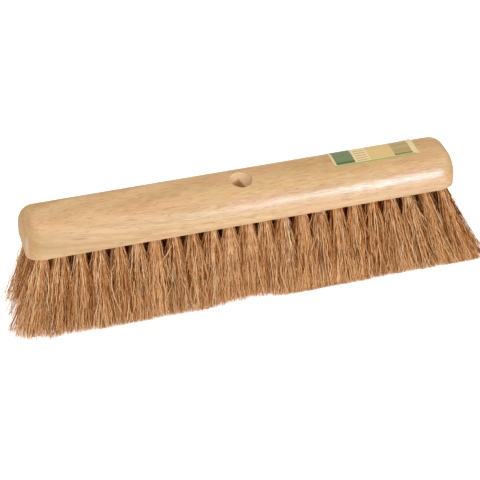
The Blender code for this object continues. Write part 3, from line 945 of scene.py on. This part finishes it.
def tube_points(points, lines, radius, rng):
    """The fibre's points set round every centre line, each copy with a twist of its own."""
    step = np.rint(-points[:, 2] * (lines.shape[1] - 1)).astype(int)
    run = np.gradient(lines, axis=1)
    run /= np.linalg.norm(run, axis=2, keepdims=True)
    side = np.cross(run, (0.0, 1.0, 0.0))
    side /= np.linalg.norm(side, axis=2, keepdims=True)
    front = np.cross(run, side)
    twist = rng.uniform(0, 2 * np.pi, (len(lines), 1))
    local_x = points[:, 0] * np.cos(twist) - points[:, 1] * np.sin(twist)
    local_y = points[:, 0] * np.sin(twist) + points[:, 1] * np.cos(twist)
    reach = radius[:, None] * (1 + (TIP_SHARE - 1) * -points[:, 2])
    across = side[:, step] * local_x[..., None] - front[:, step] * local_y[..., None]
    return lines[:, step] + across * reach[..., None] + np.array(BLOCK_CENTRE)


def tubes(shape, lines, radius, tone, lit, rng, name):
    """Copy the fibre along every centre line, each with its strip of the map from its lit place down."""
    co = tube_points(shape["points"], lines, radius, rng)
    shift = np.arange(len(lines))[:, None]
    corners = (shape["corners"] + shift * len(shape["points"])).ravel()
    starts = (shape["starts"] + shift * len(shape["corners"])).ravel()
    across, along = shape["map"].T
    strip = np.floor(tone * TONES)[:, None] + STRIP_MARGIN + (1 - 2 * STRIP_MARGIN) * across
    down = lit[:, None] + (1 - lit[:, None]) * along
    mesh = bpy.data.meshes.new(name)
    mesh.vertices.add(co.size // 3)
    mesh.vertices.foreach_set("co", co.astype(np.float32).ravel())
    mesh.loops.add(len(corners))
    mesh.loops.foreach_set("vertex_index", corners.astype(np.int32))
    mesh.polygons.add(len(starts))
    mesh.polygons.foreach_set("loop_start", starts.astype(np.int32))
    mesh.update(calc_edges=True)
    layer = mesh.uv_layers.new(name=FIBRE_MAP)
    layer.uv.foreach_set("vector", np.stack([strip / TONES, down], 2).astype(np.float32).ravel())
    mesh.shade_smooth()
    return mesh


print(f"a copy of the fibre takes {len(FINE_FIBRE['points'])} points")

# %% [markdown]
# ## The rows
#
# The front and rear rows are seen, so each tuft there is a piece of its own with fine fibres. The three
# rows between show only at the ends and from below. They could have as many, but each of them is one
# piece with fewer, plainer fibres, which keeps the broom light.

# %% Set the tufts
FIBRES_SEEN = 400
FIBRES_HIDDEN = 160
FINE_STEPS, PLAIN_STEPS = FINE_CUTS + 2, PLAIN_CUTS + 2  # a line has a point at each cut and at its ends
TUFTS_TO_DARK = 3  # from an end of an inner row to where no light comes in
ROW_SEED = 1000  # from one row's seeds to the next row's


def outer_tufts(side, row):
    """A piece for each tuft of an outer row."""
    pieces = []
    for number, place in enumerate(row_places(row), start=1):
        rng = np.random.default_rng(ROW_SEED * row + number)
        laid = lay_fibres(rng, place, row, FIBRES_SEEN, FINE_STEPS)
        tuft = f"{side}_tuft_{number:02d}"
        mesh = tubes(FINE_FIBRE, *laid, rng, tuft + "_fibres")
        pieces.append(add_piece(tuft + "_fibres", mesh, "coir", [tuft], COIR))
    return pieces


def inner_row(row):
    """One piece for a whole row that hardly shows, in painted shade but for its ends."""
    rng = np.random.default_rng(ROW_SEED * row)
    places = row_places(row)
    laid = []
    for number, place in enumerate(places):
        hidden = min(1, number / TUFTS_TO_DARK, (len(places) - 1 - number) / TUFTS_TO_DARK)
        laid.append(lay_fibres(rng, place, row, FIBRES_HIDDEN, PLAIN_STEPS, hidden))
    name = f"inner_row_{row}_fibres"
    mesh = tubes(PLAIN_FIBRE, *(np.concatenate(parts) for parts in zip(*laid)), rng, name)
    return add_piece(name, mesh, "coir", [f"inner_tuft_row_{row}"], COIR)


tufts = outer_tufts("front", 0) + outer_tufts("rear", ROWS - 1)
tufts += [inner_row(row) for row in range(1, ROWS - 1)]
print(f"{len(tufts)} coir pieces, {sum(len(tuft.data.polygons) for tuft in tufts)} faces")

# %% [markdown]
# ## The label
#
# A printed paper sticker lies over the crown. A shrinkwrapped plane would stretch its print, so a grid is
# bent onto the crown by its own arc length instead, and a Solidify modifier gives the paper its
# thickness. The print is drawn by the material on the piece's UV map, with a list of what is printed
# where, one ink over the other. It is plain: a cream sheet with a green edge, panels of green, pale
# yellow and olive, and thin rules. The paper is matt, with a faint tooth.

# %% Printed paper
LABEL_MAP = "label_map"
PAPER_TONE = "DCC391"
PANEL = (0.07, 0.95)  # a panel's extent up the sheet, as shares of its width
# Each ink with its extent along the sheet and up it, as shares of the sheet's length and width.
PRINTS = [
    ("74A94E", (0.0, 0.96), (0.0, 0.05)),
    ("6C7A50", (0.03, 0.25), PANEL),
    ("4C6034", (0.03, 0.25), (0.07, 0.2)),
    *(("A5895A", (0.275, 0.41), (low, low + 0.035)) for low in (0.12, 0.25, 0.38, 0.51, 0.64)),
    ("D2B174", (0.43, 0.71), PANEL),
    ("B09765", (0.715, 0.93), PANEL),
    ("8A6F41", (0.715, 0.93), (0.07, 0.17)),
    *(("8F7848", (0.735, 0.92), (low, low + 0.03)) for low in (0.26, 0.36, 0.62)),
]
PAPER_GRAIN = 90.0  # blobs along the sheet, 0.9 mm each: real paper's grain is too fine to show
PAPER_RELIEF = 0.01 * MM


def band(paper, value, low, high):
    """1 between two shares of the sheet and 0 outside them."""
    over = node(paper, "Math", {0: value, 1: low}, operation="GREATER_THAN")
    under = node(paper, "Math", {0: value, 1: high}, operation="LESS_THAN")
    return node(paper, "Math", {0: over, 1: under}, operation="MULTIPLY")


def printed_paper():
    """Uncoated paper: matt, so that its inks look the same from every side."""
    paper = new_material("printed_paper")
    sheet = node(paper, "UVMap", uv_map=LABEL_MAP)
    axes = node(paper, "SeparateXYZ", {"Vector": sheet}).outputs
    ink = colour(PAPER_TONE)
    for code, along, up in PRINTS:
        bands = {0: band(paper, axes["X"], *along), 1: band(paper, axes["Y"], *up)}
        inked = node(paper, "Math", bands, operation="MULTIPLY")
        ink = node(paper, "Mix", {SHARE: inked, BELOW: ink, ABOVE: colour(code)}, data_type="RGBA")
    fibre = node(paper, "TexNoise", {"Vector": sheet, "Scale": PAPER_GRAIN, "Detail": 3.0})
    inputs = {
        "Base Color": ink,
        "Roughness": node(paper, "MapRange", {"Value": fibre, "To Min": 0.5, "To Max": 0.65}),
        "Normal": node(paper, "Bump", {"Height": fibre, "Distance": PAPER_RELIEF}),
        "IOR": 1.5,
    }
    finish_with(paper, inputs)
    return paper


PRINTED_PAPER = printed_paper()

# %% Lay the label
LABEL_LENGTH = 84 * MM
LABEL_CENTRE_X = 131.5 * MM  # from the block's middle
LABEL_FRONT_Y = -8.6 * MM
LABEL_ARC = 29 * MM  # from its front edge over the crown to its rear edge
LABEL_SEGMENTS = (30, 24)
PAPER = 0.16 * MM
PAPER_GAP = 0.04 * MM
LOOSE_CORNER, LOOSE_REACH = 0.9 * MM, 0.2  # one corner has come off this far, over this share of the sheet


def on_crown(arc):
    """The point and the outward direction at an arc length behind the middle of the crown."""
    flat = BLOCK_WIDTH / 2 - CROWN_RADIUS
    past = max(0, abs(arc) - flat) / CROWN_RADIUS
    side = math.copysign(1, arc)
    y = side * (min(abs(arc), flat) + CROWN_RADIUS * math.sin(past))
    outward = Vector((0, side * math.sin(past), math.cos(past)))
    return Vector((0, y, BLOCK_HEIGHT - CROWN_RADIUS * (1 - math.cos(past)))), outward


def paper_label():
    """The sheet on the crown, with one corner that has come loose."""
    bm = bmesh.new()
    layer = bm.loops.layers.uv.new(LABEL_MAP)
    bmesh.ops.create_grid(bm, x_segments=LABEL_SEGMENTS[0], y_segments=LABEL_SEGMENTS[1], size=0.5)
    for loop in (loop for face in bm.faces for loop in face.loops):
        loop[layer].uv = loop.vert.co.xy + Vector((0.5, 0.5))
    for vert in bm.verts:
        point, outward = on_crown(LABEL_FRONT_Y + (vert.co.y + 0.5) * LABEL_ARC)
        to_corner = max(0, vert.co.x + vert.co.y - 1 + LOOSE_REACH) / LOOSE_REACH
        along = Vector((LABEL_CENTRE_X + vert.co.x * LABEL_LENGTH, 0, 0))
        vert.co = BLOCK_CENTRE + along + point + outward * (PAPER_GAP + LOOSE_CORNER * to_corner**2)
    mesh = mesh_of(bm, "paper_label_sheet")
    mesh.shade_smooth()
    piece = add_piece("paper_label_sheet", mesh, "label", ["paper_label"], PRINTED_PAPER)
    paper = piece.modifiers.new("paper", "SOLIDIFY")
    paper.thickness, paper.offset = PAPER, 1
    return piece


label = paper_label()
print(f"{label.name}: {len(label.data.polygons)} faces, {LABEL_LENGTH:.3f} x {LABEL_ARC:.3f} m")

# %% [markdown]
# ## Floor, light and camera
#
# A catalogue photo stands on white under broad soft light. One bright backdrop could be enough, but it
# would leave the crown flat. So a wide softbox in front gives the form, another overhead lights the
# crown, and a pale surround fills the shadows. A low, slightly blue one on the right draws the bright
# streak on the block's shoulder. Only that one is seen in reflections, and only there, so the streak
# stays alone.

# %% Floor
FLOOR_TONES = [(0.3, "F6F6F5"), (0.7, "F9F9F8")]
FLOOR_GLOW = 0.45  # keeps the floor white around the broom's soft shadow


def pale_floor():
    """Matt white paint, which takes the soft shadow and shows no reflection."""
    paint = new_material("pale_floor")
    place = node(paint, "TexCoord").outputs["Object"]
    blotches = node(paint, "TexNoise", {"Vector": place, "Scale": 3.0})
    tint = node(paint, "ValToRGB", {"Fac": blotches}, ramp=FLOOR_TONES)
    glow = {"Emission Color": colour("FFFFFF"), "Emission Strength": FLOOR_GLOW}
    finish_with(paint, {"Base Color": tint, "Roughness": 0.9, **glow})
    bm = bmesh.new()
    bmesh.ops.create_grid(bm, x_segments=1, y_segments=1, size=4)
    floor = bpy.data.objects.new("floor", mesh_of(bm, "floor"))
    floor.data.materials.append(paint)
    scene.collection.objects.link(floor)
    return floor


floor = pale_floor()
print(f"floor laid, {floor.dimensions.x:.0f} m wide")

# %% Surround
BRIGHT_SIDE = (0.40, -0.92, 0)
BRIGHT_LEVEL, DARK_LEVEL = 0.95, 0.66


def surround():
    """Pale in front and to the right, darker behind, so that the broom's top doesn't turn milky."""
    world = bpy.data.worlds.new("studio")
    world.use_nodes = True
    way = node(world, "TexCoord").outputs["Generated"]
    facing = node(world, "VectorMath", {0: way, 1: BRIGHT_SIDE}, operation="DOT_PRODUCT")
    levels = {"To Min": DARK_LEVEL, "To Max": BRIGHT_LEVEL}
    level = node(world, "MapRange", {"Value": facing, "From Min": -1.0, "From Max": 1.0, **levels})
    background = world.node_tree.nodes["Background"].inputs
    world.node_tree.links.new(level.outputs["Result"], background["Strength"])
    background["Color"].default_value = colour("FFFFFF")
    return world


scene.world = surround()
print(f"surround from {DARK_LEVEL} behind to {BRIGHT_LEVEL} in front")


# %% Lights
def softbox(name, place, aim, size, power, unseen_by, tint="FFFFFF"):
    """A rectangular area light at a place, turned to a point of the broom, and unseen by one kind of ray."""
    lamp = bpy.data.lights.new(name, "AREA")
    lamp.shape, lamp.energy = "RECTANGLE", power
    lamp.color = colour(tint)[:3]
    lamp.size, lamp.size_y = size
    obj = bpy.data.objects.new(name, lamp)
    target = BLOCK_CENTRE + Vector(aim)
    obj.location = place
    obj.rotation_euler = (target - Vector(place)).to_track_quat("-Z", "Y").to_euler()
    setattr(obj, unseen_by, False)
    scene.collection.objects.link(obj)
    return obj


KEY = {"place": (0.12, -1.0, 0.4), "aim": (0.05, 0, 0), "size": (0.6, 0.6), "power": 1.42}
OVERHEAD = {"place": (0, -0.35, 1.15), "aim": (0, 0, 0), "size": (0.9, 0.5), "power": 4.4}
STREAK = {"place": (0.45, -0.9, 0.07), "aim": (0.12, -0.02, 0.02), "size": (0.28, 0.24), "power": 12.5}
softboxes = [
    softbox("key", **KEY, unseen_by="visible_glossy"),
    softbox("overhead", **OVERHEAD, unseen_by="visible_glossy"),
    softbox("streak", **STREAK, unseen_by="visible_diffuse", tint="C6E4FF"),
]
print("lights:", [box.name for box in softboxes])

# %% Camera
AZIMUTH, ELEVATION = math.radians(16.5), math.radians(36)
DISTANCE = 1.6043  # m, to the middle of the block's underside
PICTURE, FOCAL_PIXELS, SENSOR = 480, 1726, 36  # pixels, pixels and mm
ABOVE_MIDDLE = 33.1  # pixels from the picture's middle up to the middle of the block's underside

level = math.cos(ELEVATION)
ahead = Vector((math.sin(AZIMUTH) * level, math.cos(AZIMUTH) * level, -math.sin(ELEVATION)))
right = Vector((math.cos(AZIMUTH), -math.sin(AZIMUTH), 0))
up = right.cross(ahead)
lens = bpy.data.cameras.new("camera")
lens.sensor_width, lens.lens = SENSOR, FOCAL_PIXELS / PICTURE * SENSOR
lens.shift_y = -ABOVE_MIDDLE / PICTURE
camera = bpy.data.objects.new("camera", lens)
camera.rotation_euler = Matrix((right, up, -ahead)).transposed().to_euler()
camera.location = BLOCK_CENTRE - ahead * DISTANCE
scene.collection.objects.link(camera)
scene.camera = camera
print(f"camera at {tuple(round(c, 3) for c in camera.location)}, lens {lens.lens:.1f} mm")
